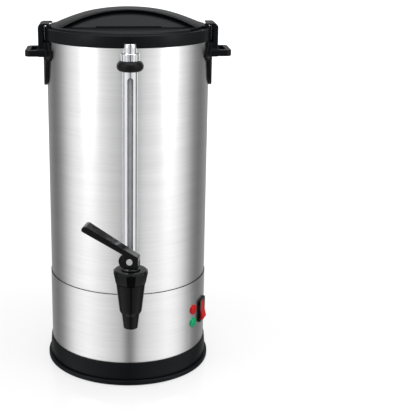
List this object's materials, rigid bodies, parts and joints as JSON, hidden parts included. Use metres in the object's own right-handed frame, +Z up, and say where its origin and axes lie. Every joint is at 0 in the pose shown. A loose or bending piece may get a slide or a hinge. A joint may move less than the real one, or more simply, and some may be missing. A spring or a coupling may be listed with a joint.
{
  "type": "coffee urn",
  "caption": "Double-walled steel urn with a twist-lock lid, two side handles, a front sight gauge and a lever tap, for brewing and serving hot drinks.",
  "frame": {"origin": "centre of the foot ring's underside, on the surface that the urn stands on", "axes": "+Z up, -Y out through the tap and the sight gauge, +X through the right-hand handle"},
  "size_m": [0.264, 0.2827, 0.4802],
  "materials": {
    "brushed_steel": "fine horizontal brushing",
    "inner_steel": "satin sheet",
    "zinc_steel": "zinc plated, satin",
    "black_plastic": "satin moulded plastic with a faint grain",
    "gloss_black": "gloss moulded plastic",
    "chrome": "polished chrome plate",
    "rubber": "matt black rubber",
    "silicone": "translucent white silicone",
    "blanket_white": "fibre blanket",
    "liner_cream": "pressed felt",
    "liner_grey": "pressed felt",
    "aluminium": "cast plate",
    "brass": "tinned spade tabs",
    "glass": "clear tube",
    "red_clear": "translucent red, gloss",
    "green_clear": "translucent green, gloss",
    "wire_jacket": "braided heat-proof sleeve",
    "mica": "mica and steel band"
  },
  "bodies": {
    "root": {"base_ring": "black_plastic", "foot_ring": "rubber", "base_plate": "zinc_steel", "tank_studs": "zinc_steel", "tank_stud_nuts": "zinc_steel", "lower_shell": "brushed_steel", "upper_shell": "brushed_steel", "inner_tank": "inner_steel", "insulation_blanket": "blanket_white", "cream_liner": "liner_cream", "grey_liner": "liner_grey", "warming_band": "mica", "top_collar": "black_plastic", "collar_seal": "silicone", "right_handle": "black_plastic", "left_handle": "black_plastic", "shell_screws": "zinc_steel", "gauge_glass": "glass", "gauge_shield": "chrome", "gauge_grommet": "rubber", "gauge_nut": "chrome", "gauge_cap": "chrome", "gauge_base": "chrome", "gauge_seal": "silicone", "tap_shank": "chrome", "shank_nut": "chrome", "shank_washers": "silicone", "tap_body": "gloss_black", "tap_nozzle": "gloss_black", "tap_bonnet": "gloss_black", "switch_housing": "gloss_black", "spade_tabs": "brass", "red_lamp_lens": "red_clear", "green_lamp_lens": "green_clear", "lamp_bodies": "black_plastic", "power_inlet": "black_plastic", "inlet_pins": "brass", "inlet_screws": "zinc_steel", "heat_plate": "aluminium", "heating_coil": "inner_steel", "coil_clamps": "zinc_steel", "thermal_cutout": "black_plastic", "terminal_block": "black_plastic", "thermostats": "black_plastic", "wiring": "wire_jacket", "pump_tube": "inner_steel", "coffee_basket": "inner_steel", "basket_spreader": "inner_steel"},
    "lid_plate": {"lid_plate": "inner_steel", "lid_gasket": "silicone", "lid_pivot_screw": "zinc_steel", "lid_pivot_nut": "zinc_steel"},
    "lid_cover": {"lid_cover": "black_plastic"},
    "tap_guide": {"tap_guide": "gloss_black"},
    "tap_stem": {"tap_stem": "inner_steel", "tap_seat_cup": "silicone", "tap_spring": "inner_steel"},
    "tap_lever": {"tap_lever": "gloss_black", "tap_pin": "inner_steel"},
    "switch_rocker": {"switch_rocker": "red_clear"}
  },
  "joints": [
    {"name": "lid_lift", "type": "slide", "parent": "root", "child": "lid_plate", "axis": [0, 0, 1], "range_m": [0, 0.14]},
    {"name": "lid_turn", "type": "hinge", "parent": "lid_plate", "child": "lid_cover", "pos_m": [0, 0, 0.46], "axis": [0, 0, 1], "range_deg": [0, 28]},
    {"name": "tap_swivel", "type": "hinge", "parent": "root", "child": "tap_guide", "pos_m": [0, -0.15, 0.18], "axis": [0, 0, 1], "range_deg": [-10, 200]},
    {"name": "stem_lift", "type": "slide", "parent": "tap_guide", "child": "tap_stem", "axis": [0, 0, 1], "range_m": [0, 0.0028], "deforming": ["tap_spring"]},
    {"name": "tap_lever", "type": "hinge", "parent": "tap_stem", "child": "tap_lever", "pos_m": [0, -0.15, 0.19025], "axis": [-0.225, -0.9744, 0], "range_deg": [0, 40], "stiffness_Nm_per_rad": 0.25, "springref_deg": -8.59},
    {"name": "switch_rock", "type": "hinge", "parent": "root", "child": "switch_rocker", "pos_m": [0.09946, -0.03878, 0.079], "axis": [0.3633, 0.9317, 0], "range_deg": [0, 26]}
  ],
  "couplings": [
    {"joint": "stem_lift", "follows": "tap_lever", "m_per_rad": 0.004}
  ]
}
